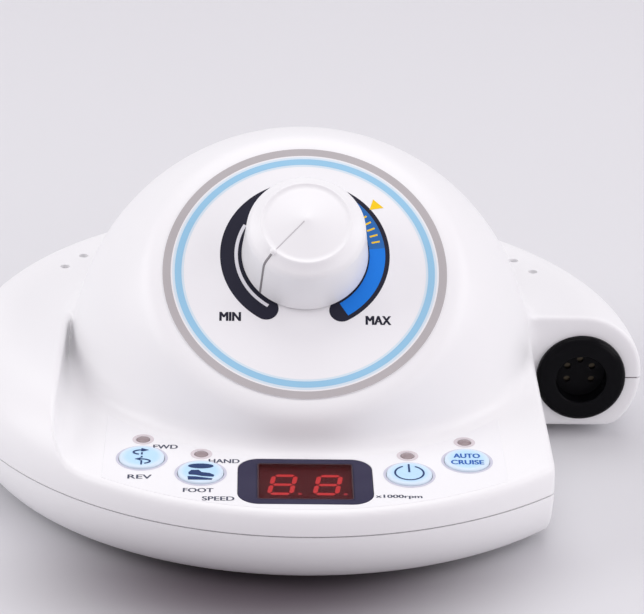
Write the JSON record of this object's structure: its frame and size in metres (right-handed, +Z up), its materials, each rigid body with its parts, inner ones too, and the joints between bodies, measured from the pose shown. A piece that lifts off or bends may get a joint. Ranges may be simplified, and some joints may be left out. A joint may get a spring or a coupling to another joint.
{
  "type": "micromotor control unit",
  "caption": "Round desktop control unit for a surgical micromotor: domed case with a slanted speed knob, sunk panel of sprung keys with a digit display, and a motor socket in a side notch.",
  "frame": {"origin": "on the table, under the axis of the round case", "axes": "+Z up, -Y towards the user (the key panel's side), +X to the user's right (the motor socket's side)"},
  "size_m": [0.212, 0.212, 0.0971],
  "materials": {
    "case_white": "glossy moulded white plastic",
    "printed_sheet": "printed polyester sheet",
    "key_blue": "light blue satin plastic",
    "pointer_grey": "dark grey paint filling",
    "window_smoke": "smoked acrylic",
    "display_red": "dark red epoxy",
    "digit_red": "lit red bars",
    "lamp_clear": "unlit lamp lens",
    "socket_black": "glossy black plastic",
    "insert_black": "matt black plastic",
    "contact_brass": "bright brass",
    "plated_steel": "zinc plated steel",
    "fuse_glass": "clear glass",
    "board_green": "green circuit board",
    "winding": "varnished winding on a steel core",
    "sink_metal": "extruded aluminium",
    "cap_sleeve": "shrunk plastic sleeve",
    "header_ivory": "ivory plastic",
    "lead_sleeve": "soft insulation",
    "foot_rubber": "soft black rubber"
  },
  "bodies": {
    "unit": {"upper_case": "case_white", "side_wing": "case_white", "dome_cover": "case_white", "key_panel": "case_white", "lower_case": "case_white", "dial_sheet": "printed_sheet", "panel_sheet": "printed_sheet", "display_window": "window_smoke", "display_module": "display_red", "display_digits": "digit_red", "indicator_lamps": "lamp_clear", "socket_shell": "socket_black", "mains_inlet": "socket_black", "pedal_jack": "socket_black", "socket_insert": "insert_black", "switch_bodies": "insert_black", "power_transistors": "insert_black", "dial_track": "insert_black", "socket_contacts": "contact_brass", "dial_can": "plated_steel", "dial_terminals": "plated_steel", "dial_washer": "plated_steel", "dial_nut": "plated_steel", "board_screws": "plated_steel", "socket_ring_nut": "plated_steel", "inlet_blades": "plated_steel", "pedal_jack_nut": "plated_steel", "coil_plate": "plated_steel", "coil_bolt": "plated_steel", "main_board_screws": "plated_steel", "case_screws": "plated_steel", "control_board": "board_green", "main_board": "board_green", "coil_winding": "winding", "heat_sink": "sink_metal", "capacitors": "cap_sleeve", "board_headers": "header_ivory", "ribbon": "lead_sleeve", "dial_lead": "lead_sleeve", "motor_lead": "lead_sleeve", "mains_lead": "lead_sleeve", "coil_lead": "lead_sleeve", "rubber_feet": "foot_rubber", "coil_pad": "foot_rubber"},
    "speed_dial_body": {"speed_knob": "case_white", "knob_pointer": "pointer_grey", "knob_collet": "contact_brass", "dial_shaft": "plated_steel", "dial_wiper": "insert_black"},
    "direction_key_body": {"key_direction": "key_blue", "plunger_direction": "insert_black"},
    "hand_foot_key_body": {"key_hand_foot": "key_blue", "plunger_hand_foot": "insert_black"},
    "power_key_body": {"key_power": "key_blue", "plunger_power": "insert_black"},
    "cruise_key_body": {"key_cruise": "key_blue", "plunger_cruise": "insert_black"},
    "fuse_drawer_body": {"fuse_drawer": "insert_black", "fuse": "fuse_glass"}
  },
  "joints": [
    {"name": "speed_dial", "type": "hinge", "parent": "unit", "child": "speed_dial_body", "pos_m": [0, -0.02959, 0.07219], "axis": [0, 0.6259, -0.7799], "range_deg": [0, 270]},
    {"name": "direction_key", "type": "slide", "parent": "unit", "child": "direction_key_body", "axis": [0, 0.0366, -0.9993], "range_m": [0, 0.0005], "stiffness_N_per_m": 1500},
    {"name": "hand_foot_key", "type": "slide", "parent": "unit", "child": "hand_foot_key_body", "axis": [0, 0.0366, -0.9993], "range_m": [0, 0.0005], "stiffness_N_per_m": 1500},
    {"name": "power_key", "type": "slide", "parent": "unit", "child": "power_key_body", "axis": [0, 0.0366, -0.9993], "range_m": [0, 0.0005], "stiffness_N_per_m": 1500},
    {"name": "cruise_key", "type": "slide", "parent": "unit", "child": "cruise_key_body", "axis": [0, 0.0366, -0.9993], "range_m": [0, 0.0005], "stiffness_N_per_m": 1500},
    {"name": "fuse_drawer_slide", "type": "slide", "parent": "unit", "child": "fuse_drawer_body", "axis": [0, 1, 0], "range_m": [0, 0.018]}
  ]
}
